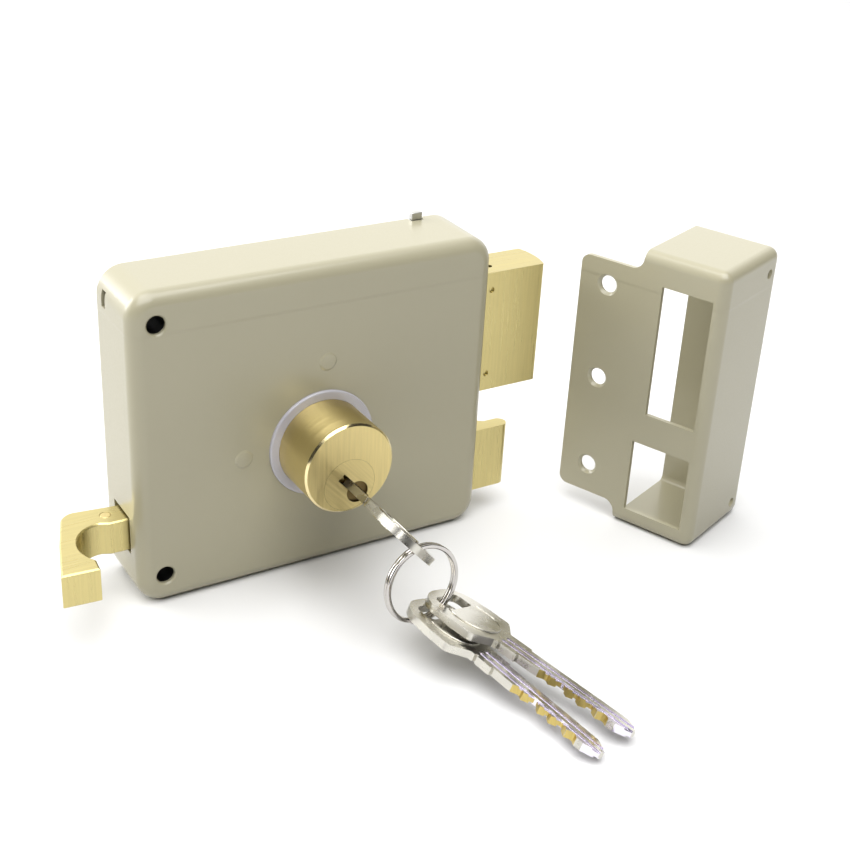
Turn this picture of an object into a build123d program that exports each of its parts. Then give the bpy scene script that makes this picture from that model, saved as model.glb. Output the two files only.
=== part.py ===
from build123d import *
from math import acos, cos, pi, radians, sin, tan
import os

os.makedirs("parts", exist_ok=True)

# Rim box lock with its keeper and three keys on a split ring, in millimetres.
# X runs towards the keeper, Y from the room into the door, Z up.
# The origin is on the cylinder's axis in the plane of the door's face.

# Driving sizes
case_width = 117.5
case_height = 100.0
case_depth = 25.0
sheet = 1.5
case_corner = 8.0
case_fold = 4.5
cylinder_from_left = 59.0
cylinder_from_bottom = 43.0
overrun = 1.0
seat_gap = 0.05
slide_gap = 0.3

# Places that follow from them
case_left = -cylinder_from_left
case_right = case_left + case_width
floor_z = -cylinder_from_bottom
case_top = floor_z + case_height
case_mid = ((case_left + case_right) / 2, (floor_z + case_top) / 2)
front_inside = -case_depth + sheet


def facing(y):
    """Plane that faces the room at depth y, with X to the right and Z up."""
    return Plane(origin=(0, y, 0), x_dir=(1, 0, 0), z_dir=(0, -1, 0))


def side_on(x):
    """Plane across the lock at x, with Y to the right and Z up."""
    return Plane(origin=(x, 0, 0), x_dir=(0, 1, 0), z_dir=(1, 0, 0))


def level(z):
    """Level plane at height z."""
    return Plane(origin=(0, 0, z), x_dir=(1, 0, 0), z_dir=(0, 0, 1))


def tray(width, height, depth, corner, fold):
    """Closed block with rounded corners and a rolled front edge, back at Y 0."""
    with BuildPart(mode=Mode.PRIVATE) as form:
        with BuildSketch(facing(0)):
            with Locations(case_mid):
                RectangleRounded(width, height, corner)
        extrude(amount=depth)
        fillet(form.faces().sort_by(Axis.Y)[0].edges(), fold)
    return form.part


def window(plane, low, high):
    """Rectangle on a plane from its low corner to its high corner."""
    with BuildSketch(plane) as opening:
        with Locations(((low[0] + high[0]) / 2, (low[1] + high[1]) / 2)):
            Rectangle(high[0] - low[0], high[1] - low[1])
    return opening.sketch


def rods(places, radius, y_front, y_back, mode=Mode.ADD):
    """Round rods along Y at places in X and Z."""
    with BuildSketch(facing(y_back)) as marks:
        with Locations(*places):
            Circle(radius)
    extrude(marks.sketch, amount=y_back - y_front, mode=mode)


# Case screws and the two rivet ends on the cover
screw_hole = 2.8
screw_dish = 0.5
screw_from_left = 8.0
screw_from_top = 9.3
screw_from_bottom = 9.7
screw_places = [
    (case_left + screw_from_left, case_top - screw_from_top),
    (case_left + screw_from_left, floor_z + screw_from_bottom),
]
post_place = (1.7, 26.6)
stud_place = (-25.6, 0.1)
pip_radius = 2.2
pip_proud = 0.3

# Deadbolt
bolt_front = -22.0
bolt_thick = 14.5
bolt_back = bolt_front + bolt_thick
bolt_low = 3.5
bolt_height = 40.6
bolt_high = bolt_low + bolt_height
bolt_reach = 21.1
bolt_crown = 1.2
bolt_end = case_right + bolt_reach
bolt_length = 43.1
bolt_start = bolt_end - bolt_length
bolt_chamfer = 0.4

# Latch
latch_front = bolt_front
latch_back = bolt_back
latch_low = -33.4
latch_high = -11.1
latch_reach = 12.7
latch_length = 41.2
latch_nose = 5.0
latch_flat_length = 6.7
latch_ramp_length = 10.4
latch_ramp_bow = 1.6
latch_end = case_right + latch_reach
latch_start = latch_end - latch_length
latch_flat = latch_end - latch_flat_length
latch_ramp_end = latch_end - latch_ramp_length

# Brass cylinder and its plug
body_radius = 14.57
body_proud = 18.4
body_front = -case_depth - body_proud
body_back = -10.0
body_chamfer = 0.6
plug_radius = 8.37
plug_drop = 5.35
plug_z = -plug_drop
plug_back = -8.6
plug_play = 0.05
plug_turn = 42.0

# Pull that draws the latch back
pull_low = -26.8
pull_high = -15.9
pull_inside = 13.0
pull_inner_end = case_left + pull_inside
pull_slot_front = -17.8
pull_slot_back = -5.2
pull_slot_gap = 0.8

# Tab, hook slot and cover openings
tab_width = 3.6
tab_from_right = 12.7
tab_left = case_right - tab_from_right - tab_width
tab_proud = 2.3
tab_gap = 0.4
hook_slot = (-6.6, 46.7, -3.8, 51.8)
plate_thick = 2.0
plate_gap = 0.25
cylinder_gap = 0.2

# Pressed steel cover with a wall on every side but the back
with BuildPart() as case_cover:
    add(tray(case_width, case_height, case_depth, case_corner, case_fold))
    inner = tray(
        case_width - 2 * sheet,
        case_height - 2 * sheet,
        case_depth - sheet,
        case_corner - sheet,
        case_fold - sheet,
    )
    add(inner, mode=Mode.SUBTRACT)
    rods([(0, 0)], body_radius + cylinder_gap, -case_depth - overrun, 0, Mode.SUBTRACT)
    rods([post_place, stud_place], pip_radius, -case_depth - overrun, 0, Mode.SUBTRACT)
    rods(screw_places, screw_hole, -case_depth - overrun, 0, Mode.SUBTRACT)
    rims = case_cover.edges().filter_by(GeomType.CIRCLE).group_by(Axis.Y)[0]
    chamfer(rims.filter_by(lambda e: abs(e.radius - screw_hole) < seat_gap), screw_dish)
    extrude(
        window(
            side_on(case_right - case_corner),
            (bolt_front - slide_gap, bolt_low - slide_gap),
            (bolt_back + slide_gap, bolt_high + slide_gap),
        ),
        amount=case_corner + overrun,
        mode=Mode.SUBTRACT,
    )
    extrude(
        window(
            side_on(case_right - case_corner),
            (latch_front - slide_gap, latch_low - slide_gap),
            (latch_back + slide_gap, latch_high + slide_gap),
        ),
        amount=case_corner + overrun,
        mode=Mode.SUBTRACT,
    )
    extrude(
        window(
            side_on(case_left - overrun),
            (pull_slot_front, pull_low - pull_slot_gap),
            (pull_slot_back, pull_high + pull_slot_gap),
        ),
        amount=sheet + 2 * overrun,
        mode=Mode.SUBTRACT,
    )
    extrude(
        window(side_on(case_left - overrun), hook_slot[0:2], hook_slot[2:4]),
        amount=sheet + 2 * overrun,
        mode=Mode.SUBTRACT,
    )
    extrude(
        window(
            facing(overrun),
            (tab_left - tab_gap, case_top - sheet - overrun),
            (tab_left + tab_width + tab_gap, case_top + overrun),
        ),
        amount=overrun + plate_thick + tab_gap,
        mode=Mode.SUBTRACT,
    )
case_cover.part.label = "case_cover"
export_step(case_cover.part, "parts/case_cover.step")

# Screws that hold the cylinder from behind, through spacers
fixing_places = [(-10.5, 6.5), (10.5, 6.5)]
fixing_shank = 1.75
fixing_head = 3.2
fixing_bite = 6.0
spacer_radius = 2.9
outer_hole = 8.5

# Flat base plate inside the cover, with a tab that shows over the top edge
with BuildPart() as base_plate:
    with BuildSketch(facing(0)):
        with Locations(case_mid):
            RectangleRounded(
                case_width - 2 * (sheet + plate_gap),
                case_height - 2 * (sheet + plate_gap),
                case_corner - sheet,
            )
        with Locations((tab_left + tab_width / 2, case_top + (tab_proud - sheet * 2) / 2)):
            Rectangle(tab_width, tab_proud + sheet * 2)
        Circle(outer_hole, mode=Mode.SUBTRACT)
        with Locations(*screw_places):
            Circle(screw_hole, mode=Mode.SUBTRACT)
        with Locations(*fixing_places):
            Circle(fixing_shank + seat_gap, mode=Mode.SUBTRACT)
        with Locations(post_place):
            Circle(pip_radius, mode=Mode.SUBTRACT)
    extrude(amount=plate_thick)
    rear = base_plate.edges().filter_by(GeomType.CIRCLE).group_by(Axis.Y)[-1]
    chamfer(
        rear.filter_by(lambda e: abs(e.radius - fixing_shank - seat_gap) < seat_gap),
        fixing_head - fixing_shank,
    )
base_plate.part.label = "base_plate"
export_step(base_plate.part, "parts/base_plate.step")

# Tubes that the case's fixing screws pass through
tube_radius = screw_from_left - case_fold
with BuildPart() as screw_tubes:
    rods(screw_places, tube_radius, front_inside, -plate_thick)
    rods(screw_places, screw_hole, front_inside - overrun, 0, Mode.SUBTRACT)
screw_tubes.part.label = "screw_tubes"
export_step(screw_tubes.part, "parts/screw_tubes.step")

# Post riveted through cover and plate, and a short stud riveted to the cover
post_radius = 3.2
stud_back = -8.1
with BuildPart() as cover_post:
    rods([post_place], post_radius, front_inside, -plate_thick)
    rods([post_place], pip_radius - seat_gap, -case_depth - pip_proud, 0)
cover_post.part.label = "cover_post"
export_step(cover_post.part, "parts/cover_post.step")

with BuildPart() as cover_stud:
    rods([stud_place], post_radius, front_inside, stud_back)
    rods([stud_place], pip_radius - seat_gap, -case_depth - pip_proud, front_inside)
cover_stud.part.label = "cover_stud"
export_step(cover_stud.part, "parts/cover_stud.step")

# Two blocks inside the cover that guide the deadbolt from above and below
guide_length = 16.0
guide_start = case_right - case_fold - guide_length
guide_upper = 4.5
guide_lower = 7.7
with BuildPart() as bolt_guides:
    extrude(
        window(
            facing(bolt_back + slide_gap),
            (guide_start, bolt_high + slide_gap),
            (case_right - case_fold, bolt_high + slide_gap + guide_upper),
        ),
        amount=bolt_back + slide_gap - front_inside,
    )
    extrude(
        window(
            facing(bolt_back),
            (guide_start, bolt_low - slide_gap - guide_lower),
            (case_right - case_fold, bolt_low - slide_gap),
        ),
        amount=bolt_back - front_inside,
    )
bolt_guides.part.label = "bolt_guides"
export_step(bolt_guides.part, "parts/bolt_guides.step")

# Cylinder body: a round brass barrel with five pin chambers above the plug
pin_count = 5
pin_pitch = 5.0
first_pin = 3.2
pin_radius = 1.45
chamber_radius = 1.5
chamber_top = 12.3
driver_height = 4.5
pin_rows = [body_front + first_pin + pin_pitch * i for i in range(pin_count)]
clip_back = -8.9
clip_front = -9.7
clip_radius = 10.0
clip_groove = 7.4

with BuildPart() as cylinder_body:
    rods([(0, 0)], body_radius, body_front, body_back)
    rim = cylinder_body.faces().sort_by(Axis.Y)[0].edges()
    chamfer(rim, body_chamfer)
    rods([(0, plug_z)], plug_radius + plug_play, body_front - overrun, 0, Mode.SUBTRACT)
    for y in pin_rows:
        with BuildSketch(level(plug_z)):
            with Locations((0, y)):
                Circle(chamber_radius)
        extrude(amount=chamber_top - plug_z, mode=Mode.SUBTRACT)
    rods(fixing_places, fixing_shank, body_back - fixing_bite, 0, Mode.SUBTRACT)
cylinder_body.part.label = "cylinder_body"
export_step(cylinder_body.part, "parts/cylinder_body.step")

# Driver pins and the sleeves that stand for their small springs
shear_z = plug_z + plug_radius + plug_play
with BuildPart() as driver_pins:
    for y in pin_rows:
        with BuildSketch(level(shear_z)):
            with Locations((0, y)):
                Circle(pin_radius)
        extrude(amount=driver_height)
driver_pins.part.label = "driver_pins"
export_step(driver_pins.part, "parts/driver_pins.step")

spring_wall = 0.35
with BuildPart() as pin_springs:
    for y in pin_rows:
        with BuildSketch(level(shear_z + driver_height)):
            with Locations((0, y)):
                Circle(pin_radius)
                Circle(pin_radius - spring_wall, mode=Mode.SUBTRACT)
        extrude(amount=chamber_top - shear_z - driver_height)
pin_springs.part.label = "pin_springs"
export_step(pin_springs.part, "parts/pin_springs.step")

# Spacers and screws between base plate and cylinder
with BuildPart() as cylinder_spacers:
    rods(fixing_places, spacer_radius, body_back, -plate_thick)
    rods(fixing_places, fixing_shank + seat_gap, body_back - overrun, 0, Mode.SUBTRACT)
cylinder_spacers.part.label = "cylinder_spacers"
export_step(cylinder_spacers.part, "parts/cylinder_spacers.step")

with BuildPart() as cylinder_screws:
    rods(fixing_places, fixing_shank - seat_gap, body_back - fixing_bite, 0)
    for place in fixing_places:
        with BuildSketch(facing(0)):
            with Locations(place):
                Circle(fixing_head - seat_gap)
        with BuildSketch(facing(fixing_shank - fixing_head)):
            with Locations(place):
                Circle(fixing_shank - seat_gap)
        loft()
cylinder_screws.part.label = "cylinder_screws"
export_step(cylinder_screws.part, "parts/cylinder_screws.step")

# Clear plastic collar round the cylinder on the cover
collar_radius = 17.4
collar_thick = 1.0
with BuildPart() as collar:
    rods([(0, 0)], collar_radius, -case_depth - collar_thick, -case_depth)
    outer_edge = collar.faces().sort_by(Axis.Y)[0].edges()
    fillet(outer_edge, collar_thick / 2)
    rods([(0, 0)], body_radius + seat_gap, -case_depth - collar_thick - overrun, 0, Mode.SUBTRACT)
collar.part.label = "collar"
export_step(collar.part, "parts/collar.step")

# Key, drawn flat in its own frame: X from bow to tip, Y across, Z through it
key_length = 72.0
key_thick = 2.4
bow_length = 25.5
bow_half = 10.1
bow_end_half = 8.6
bow_widest = 13.0
bow_shoulder = 21.0
bow_end_round = 8.0
bow_side_round = 12.0
bow_shoulder_round = 2.4
neck_half = 4.4
neck_end = 33.6
notch_at = 27.5
notch_wide = 1.0
notch_deep = 0.9
blade_half = 3.55
blade_tip_half = 1.2
blade_taper = 4.5
ring_hole_from = 3.3
ring_hole_to = 10.2
ring_hole_half = 5.5
ring_hole_round = 2.0
panel_from = 5.4
panel_to = 23.4
panel_half = 6.6
panel_proud = 0.2
groove_from = 26.5
groove_deep = 0.55
groove_half = 0.65
groove_places = (1.1, -1.6)
key_in_depth = 31.8
cut_first = key_length - key_in_depth + first_pin
cut_flat = 0.9
cut_slope = 40.0
cut_deepest = 2.6
cut_depth_shares = (0.55, 1.0, 0.7, 0.85, 0.45)


def key_form():
    """One key blank with its bow, ring hole, grooves and five cuts."""
    with BuildPart(mode=Mode.PRIVATE) as form:
        with BuildSketch(level(-key_thick / 2)) as outline:
            with BuildLine():
                Polyline(
                    (0, -bow_end_half),
                    (0, bow_end_half),
                    (bow_widest, bow_half),
                    (bow_shoulder, bow_half),
                    (bow_length, neck_half),
                    (bow_length, -neck_half),
                    (bow_shoulder, -bow_half),
                    (bow_widest, -bow_half),
                    close=True,
                )
            make_face()
            corners = outline.vertices().group_by(Axis.X)
            fillet(corners[0], bow_end_round)
            corners = outline.vertices().group_by(Axis.X)
            fillet(corners[-3], bow_side_round)
            corners = outline.vertices().group_by(Axis.X)
            fillet(corners[-2], bow_shoulder_round)
            with Locations(((bow_length + neck_end) / 2 - bow_shoulder_round, 0)):
                Rectangle(neck_end - bow_length + 2 * bow_shoulder_round, 2 * neck_half)
            with BuildLine():
                Polyline(
                    (bow_length, -blade_half),
                    (bow_length, blade_half),
                    (key_length - blade_taper, blade_half),
                    (key_length, blade_tip_half),
                    (key_length, -blade_tip_half),
                    (key_length - blade_taper, -blade_half),
                    close=True,
                )
            make_face()
            with Locations((notch_at, neck_half)):
                Rectangle(notch_wide, 2 * notch_deep, mode=Mode.SUBTRACT)
            for share, place in zip(cut_depth_shares, range(pin_count)):
                centre = cut_first + pin_pitch * place
                deep = cut_deepest * share
                rise = (deep + overrun) / tan(radians(cut_slope))
                with BuildLine():
                    Polyline(
                        (centre - cut_flat / 2, blade_half - deep),
                        (centre + cut_flat / 2, blade_half - deep),
                        (centre + cut_flat / 2 + rise, blade_half + overrun),
                        (centre - cut_flat / 2 - rise, blade_half + overrun),
                        close=True,
                    )
                make_face(mode=Mode.SUBTRACT)
        extrude(amount=key_thick)
        with BuildSketch(level(-key_thick / 2 - panel_proud)):
            with Locations(((panel_from + panel_to) / 2, 0)):
                Ellipse((panel_to - panel_from) / 2, panel_half)
        extrude(amount=key_thick + 2 * panel_proud)
        with BuildSketch(level(-key_thick)):
            with Locations(((ring_hole_from + ring_hole_to) / 2, 0)):
                RectangleRounded(ring_hole_to - ring_hole_from, 2 * ring_hole_half, ring_hole_round)
        extrude(amount=2 * key_thick, mode=Mode.SUBTRACT)
        for side in (-1, 1):
            for place in groove_places:
                with Locations(
                    ((groove_from + key_length + overrun) / 2, place * side, side * key_thick / 2)
                ):
                    Box(
                        key_length + overrun - groove_from,
                        2 * groove_half,
                        2 * groove_deep,
                        mode=Mode.SUBTRACT,
                    )
    return form.part


# The plug is shown turned, so its slot and pins lie along these directions
turned = radians(plug_turn)
slot_out = (sin(turned), -cos(turned))
slot_face = Plane(
    origin=(0, body_front, plug_z),
    x_dir=(slot_out[0], 0, slot_out[1]),
    z_dir=(0, -1, 0),
)
key_offset = 2.2
slot_inner = 4.1
slot_gap = 0.15
recess_radius = 3.5
recess_deep = 0.8
recess_offset = 4.0
key_pin_top = 8.15
tail_radius = 2.2
tail_bite = 3.0

with BuildPart() as plug:
    rods([(0, plug_z)], plug_radius, body_front, plug_back)
    with BuildSketch(slot_face):
        with Locations(((plug_radius + overrun - slot_inner) / 2, 0)):
            Rectangle(plug_radius + overrun + slot_inner, key_thick + 2 * slot_gap)
    extrude(amount=-key_in_depth - slot_gap, mode=Mode.SUBTRACT)
    with BuildSketch(slot_face):
        with Locations((recess_offset, 0)):
            Circle(recess_radius)
    extrude(amount=-recess_deep, mode=Mode.SUBTRACT)
    for y in pin_rows:
        hole_face = Plane(
            origin=(slot_out[0] * key_offset, y, plug_z + slot_out[1] * key_offset),
            x_dir=(0, 1, 0),
            z_dir=(-slot_out[0], 0, -slot_out[1]),
        )
        with BuildSketch(hole_face):
            Circle(chamber_radius)
        extrude(amount=plug_radius + key_offset + overrun, mode=Mode.SUBTRACT)
    with BuildSketch(facing(clip_back)):
        with Locations((0, plug_z)):
            Circle(plug_radius + overrun)
            Circle(clip_groove, mode=Mode.SUBTRACT)
    extrude(amount=clip_back - clip_front, mode=Mode.SUBTRACT)
    rods([(0, plug_z)], tail_radius, plug_back - tail_bite, 0, Mode.SUBTRACT)
plug.part.label = "plug"
export_step(plug.part, "parts/plug.step")

# Key pins stand on the key's cuts and end at the plug's surface
with BuildPart() as key_pins:
    for y, share in zip(pin_rows, cut_depth_shares):
        seat = blade_half - cut_deepest * share - key_offset + seat_gap
        pin_face = Plane(
            origin=(-slot_out[0] * seat, y, plug_z - slot_out[1] * seat),
            x_dir=(0, 1, 0),
            z_dir=(-slot_out[0], 0, -slot_out[1]),
        )
        with BuildSketch(pin_face):
            Circle(cut_flat / 2)
        with BuildSketch(pin_face.offset(pin_radius - cut_flat / 2)):
            Circle(pin_radius)
        loft()
        with BuildSketch(pin_face.offset(pin_radius - cut_flat / 2)):
            Circle(pin_radius)
        extrude(amount=key_pin_top - seat - pin_radius + cut_flat / 2)
key_pins.part.label = "key_pins"
export_step(key_pins.part, "parts/key_pins.step")

# Open ring clip that holds the plug in from behind
clip_gap = 5.0
with BuildPart() as plug_clip:
    rods([(0, plug_z)], clip_radius, clip_front + seat_gap, clip_back - seat_gap)
    rods([(0, plug_z)], clip_groove + seat_gap, clip_front - overrun, 0, Mode.SUBTRACT)
    with Locations((0, clip_front, plug_z - clip_radius)):
        Box(clip_gap, clip_radius, clip_radius, mode=Mode.SUBTRACT)
plug_clip.part.label = "plug_clip"
export_step(plug_clip.part, "parts/plug_clip.step")

# Gear on the plug's tail and the toothed tail plate that it drives
tooth_count = 8
gear_module = 1.0
pitch_radius = gear_module * tooth_count / 2
tooth_play = 0.1
press_angle = 20.0
rack_rise = 0.45
gear_root = pitch_radius - rack_rise - slide_gap
gear_tip = pitch_radius + gear_module
gear_base = pitch_radius * cos(radians(press_angle))
gear_front = -7.5
gear_back = -4.8
tail_front = bolt_back
tail_back = -4.9


def flank_point(radius, side, axis_angle):
    """Point on a tooth's flank at a radius, for the tooth at an angle."""
    half = pi / (2 * tooth_count) - tooth_play / (2 * pitch_radius)
    roll = acos(gear_base / radius)
    roll_pitch = radians(press_angle)
    spread = half + (tan(roll_pitch) - roll_pitch) - (tan(roll) - roll)
    angle = axis_angle + side * spread
    return (radius * sin(angle), plug_z + radius * cos(angle))


def root_point(side, axis_angle):
    """Point where the flank meets the root, straight below the base circle."""
    top = flank_point(gear_base, side, axis_angle)
    share = gear_root / gear_base
    return (top[0] * share, plug_z + (top[1] - plug_z) * share)


with BuildPart() as pinion:
    with BuildSketch(facing(gear_back)):
        with Locations((0, plug_z)):
            Circle(gear_root)
        for i in range(tooth_count):
            lean = 2 * pi * i / tooth_count
            middle = (gear_base + gear_tip) / 2
            crown = (gear_tip * sin(lean), plug_z + gear_tip * cos(lean))
            with BuildLine():
                Line(root_point(-1, lean), flank_point(gear_base, -1, lean))
                ThreePointArc(
                    flank_point(gear_base, -1, lean),
                    flank_point(middle, -1, lean),
                    flank_point(gear_tip, -1, lean),
                )
                ThreePointArc(
                    flank_point(gear_tip, -1, lean), crown, flank_point(gear_tip, 1, lean)
                )
                ThreePointArc(
                    flank_point(gear_tip, 1, lean),
                    flank_point(middle, 1, lean),
                    flank_point(gear_base, 1, lean),
                )
                Line(flank_point(gear_base, 1, lean), root_point(1, lean))
                Line(root_point(1, lean), (0, plug_z))
                Line((0, plug_z), root_point(-1, lean))
            make_face()
    extrude(amount=gear_back - gear_front)
    rods([(0, plug_z)], tail_radius - seat_gap, plug_back - tail_bite, gear_front)
pinion.part.label = "pinion"
export_step(pinion.part, "parts/pinion.step")

# Deadbolt block with a slightly bowed end
pilot_from_end = 17.5
pilot_in = 5.4
pilot_place = (bolt_end - pilot_from_end, bolt_front + pilot_in)
pilot_radius = 1.1
pilot_deep = 5.0
dimple_heights = (38.3, 9.5)
dimple_from_case = 1.9
dimple_radius = 0.9
dimple_deep = 0.8
rivet_radius = 1.5
rivet_head = 2.3
rivet_bite = 6.0
rivet_rise = 1.1
rivet_from_start = 7.5
rivet_spread = 14.0
rivet_lowest = 8.5
rivet_places = [
    (bolt_start + rivet_from_start, bolt_low + rivet_lowest),
    (bolt_start + rivet_from_start, bolt_low + rivet_lowest + rivet_spread),
]
with BuildPart() as deadbolt_head:
    with BuildSketch(level(bolt_low)):
        with BuildLine():
            Polyline(
                (bolt_end, bolt_back),
                (bolt_start, bolt_back),
                (bolt_start, bolt_front),
                (bolt_end, bolt_front),
            )
            ThreePointArc(
                (bolt_end, bolt_front),
                (bolt_end + bolt_crown, (bolt_front + bolt_back) / 2),
                (bolt_end, bolt_back),
            )
        make_face()
    extrude(amount=bolt_height)
    chamfer(deadbolt_head.edges().filter_by(Axis.Z).group_by(Axis.X)[-1], bolt_chamfer)
    with BuildSketch(level(bolt_high)):
        with Locations(pilot_place):
            Circle(pilot_radius)
    extrude(amount=-pilot_deep, mode=Mode.SUBTRACT)
    dimples = [(case_right + dimple_from_case, z) for z in dimple_heights]
    rods(dimples, dimple_radius, bolt_front - overrun, bolt_front + dimple_deep, Mode.SUBTRACT)
    rods(rivet_places, rivet_radius, bolt_back - rivet_bite, bolt_back + overrun, Mode.SUBTRACT)
deadbolt_head.part.label = "deadbolt_head"
export_step(deadbolt_head.part, "parts/deadbolt_head.step")

# Tail plate: a rack over the gear, and an arm that slides on the post
throw_out = pitch_radius * radians(plug_turn)
throw_back = pitch_radius * (2 * pi - radians(plug_turn))
rack_pitch = pi * gear_module
rack_line = plug_z + pitch_radius
rack_root = rack_line + gear_module + slide_gap
rack_left = -7.0
arm_height = 3.1
joint_inset = 1.5
joint_left = bolt_start + joint_inset
joint_right = case_right - sheet - throw_out - 2 * slide_gap
arm_wall = 1.5
post_slot = post_radius + slide_gap
slot_left = post_place[0] - post_slot - throw_out - slide_gap
slot_right = post_place[0] + post_slot + throw_back + slide_gap
rack_depth = rack_root - rack_line + rack_rise
rack_lean = tan(radians(press_angle))
with BuildPart() as deadbolt_tail:
    with BuildSketch(facing(tail_back)):
        add(window(Plane.XY, (rack_left, rack_root), (joint_right, rack_root + arm_height)))
        add(
            window(
                Plane.XY,
                (joint_left, rack_root),
                (joint_right, post_place[1] + post_slot + arm_wall),
            )
        )
        add(
            window(
                Plane.XY,
                (slot_left - arm_wall, post_place[1] - post_slot - arm_wall),
                (joint_right, post_place[1] + post_slot + arm_wall),
            )
        )
        with Locations(((slot_left + slot_right) / 2, post_place[1])):
            SlotOverall(slot_right - slot_left, 2 * post_slot, mode=Mode.SUBTRACT)
        first = int((rack_left + rack_pitch) / rack_pitch)
        last = int((throw_back + 2 * rack_pitch) / rack_pitch)
        for i in range(first - 1, last + 1):
            centre = (i + 1 / 2) * rack_pitch
            half = (rack_pitch / 2 - tooth_play) / 2
            base_half = half + (rack_root - rack_line) * rack_lean
            tip_half = half - rack_rise * rack_lean
            with BuildLine():
                Polyline(
                    (centre - base_half, rack_root),
                    (centre + base_half, rack_root),
                    (centre + tip_half, rack_root - rack_depth),
                    (centre - tip_half, rack_root - rack_depth),
                    close=True,
                )
            make_face()
    extrude(amount=tail_back - tail_front)
    rods(rivet_places, rivet_radius, tail_front - overrun, 0, Mode.SUBTRACT)
deadbolt_tail.part.label = "deadbolt_tail"
export_step(deadbolt_tail.part, "parts/deadbolt_tail.step")

with BuildPart() as deadbolt_rivets:
    rods(rivet_places, rivet_radius - seat_gap, bolt_back - rivet_bite + seat_gap, tail_back)
    rods(rivet_places, rivet_head, tail_back, tail_back + rivet_rise)
deadbolt_rivets.part.label = "deadbolt_rivets"
export_step(deadbolt_rivets.part, "parts/deadbolt_rivets.step")

# Latch: a brass block with a round nose and a hollow ramp on the door side
bar_low = -25.0
bar_high = -19.0
bar_thick = 4.8
bar_front = -14.2
bar_back = bar_front + bar_thick
bar_bite = 12.0
latch_pin_radius = 1.5
latch_pin_at = latch_start + bar_bite / 2
with BuildPart() as latch_head:
    nose_round = latch_nose / 2
    ramp_mid = ((latch_flat + latch_ramp_end) / 2, (latch_front + latch_nose + latch_back) / 2)
    with BuildSketch(level(latch_low)):
        with BuildLine():
            Polyline(
                (latch_ramp_end, latch_back),
                (latch_start, latch_back),
                (latch_start, latch_front),
                (latch_end - nose_round, latch_front),
            )
            ThreePointArc(
                (latch_end - nose_round, latch_front),
                (latch_end, latch_front + nose_round),
                (latch_end - nose_round, latch_front + latch_nose),
            )
            Line(
                (latch_end - nose_round, latch_front + latch_nose),
                (latch_flat, latch_front + latch_nose),
            )
            ThreePointArc(
                (latch_flat, latch_front + latch_nose),
                (ramp_mid[0] - latch_ramp_bow, ramp_mid[1] - latch_ramp_bow),
                (latch_ramp_end, latch_back),
            )
        make_face()
    extrude(amount=latch_high - latch_low)
    extrude(
        window(side_on(latch_start), (bar_front, bar_low), (bar_back, bar_high)),
        amount=bar_bite,
        mode=Mode.SUBTRACT,
    )
    with BuildSketch(level(latch_low)):
        with Locations((latch_pin_at, (bar_front + bar_back) / 2)):
            Circle(latch_pin_radius)
    extrude(amount=latch_high - latch_low, mode=Mode.SUBTRACT)
latch_head.part.label = "latch_head"
export_step(latch_head.part, "parts/latch_head.step")

# Hooked brass pull on the left, and the steel bar that joins it to the latch
pull_reach = 27.0
pull_back = -6.2
pull_span = 32.0
pull_pin_out = 5.2
pull_pin_radius = 1.7
pull_bar_past = 2.3
pull_edge = 0.5
pull_pin_place = (case_left - pull_pin_out, (bar_front + bar_back) / 2)
pull_bar_end = pull_pin_place[0] - pull_bar_past
shank_front_share = 0.331
shank_back_share = 0.047
corner_shares = ((0.459, 0.0), (0.596, 0.022), (0.663, 0.091))
outside_shares = ((0.663, 0.091), (0.830, 0.491), (1.0, 0.975), (0.593, 1.0), (0.574, 0.841))
hollow_shares = ((0.574, 0.841), (0.663, 0.634), (0.630, 0.484))
bend_shares = ((0.630, 0.484), (0.541, 0.372), (0.304, 0.297))
lip_share = (0.204, shank_front_share)


def pull_point(shares):
    """Point of the pull's outline from its shares of reach and span."""
    return (case_left - shares[0] * pull_reach, pull_back - shares[1] * pull_span)


with BuildPart() as pull_hook:
    with BuildSketch(level(pull_low)):
        with BuildLine():
            shank_front = pull_point((0, shank_front_share))[1]
            shank_back = pull_point((0, shank_back_share))[1]
            Polyline(
                pull_point(lip_share),
                (pull_inner_end, shank_front),
                (pull_inner_end, shank_back),
                (case_left, shank_back),
                pull_point(corner_shares[0]),
            )
            ThreePointArc(*[pull_point(p) for p in corner_shares])
            Polyline(*[pull_point(p) for p in outside_shares])
            ThreePointArc(*[pull_point(p) for p in hollow_shares])
            ThreePointArc(*[pull_point(p) for p in bend_shares])
            Line(pull_point(bend_shares[2]), pull_point(lip_share))
        make_face()
    extrude(amount=pull_high - pull_low)
    rims = pull_hook.edges().group_by(Axis.Z)[-1] + pull_hook.edges().group_by(Axis.Z)[0]
    chamfer(rims, pull_edge)
    extrude(
        window(side_on(pull_bar_end), (bar_front, bar_low), (bar_back, bar_high)),
        amount=pull_inner_end - pull_bar_end + overrun,
        mode=Mode.SUBTRACT,
    )
    with BuildSketch(level(pull_low - overrun)):
        with Locations(pull_pin_place):
            Circle(pull_pin_radius)
    extrude(amount=pull_high - pull_low + 2 * overrun, mode=Mode.SUBTRACT)
pull_hook.part.label = "pull_hook"
export_step(pull_hook.part, "parts/pull_hook.step")

with BuildPart() as latch_bar:
    extrude(
        window(
            side_on(pull_bar_end + seat_gap),
            (bar_front + seat_gap, bar_low + seat_gap),
            (bar_back - seat_gap, bar_high - seat_gap),
        ),
        amount=latch_start + bar_bite - pull_bar_end - 2 * seat_gap,
    )
    with BuildSketch(level(bar_low - overrun)):
        with Locations((latch_pin_at, (bar_front + bar_back) / 2)):
            Circle(latch_pin_radius)
        with Locations(pull_pin_place):
            Circle(pull_pin_radius)
    extrude(amount=bar_high - bar_low + 2 * overrun, mode=Mode.SUBTRACT)
latch_bar.part.label = "latch_bar"
export_step(latch_bar.part, "parts/latch_bar.step")

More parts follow.
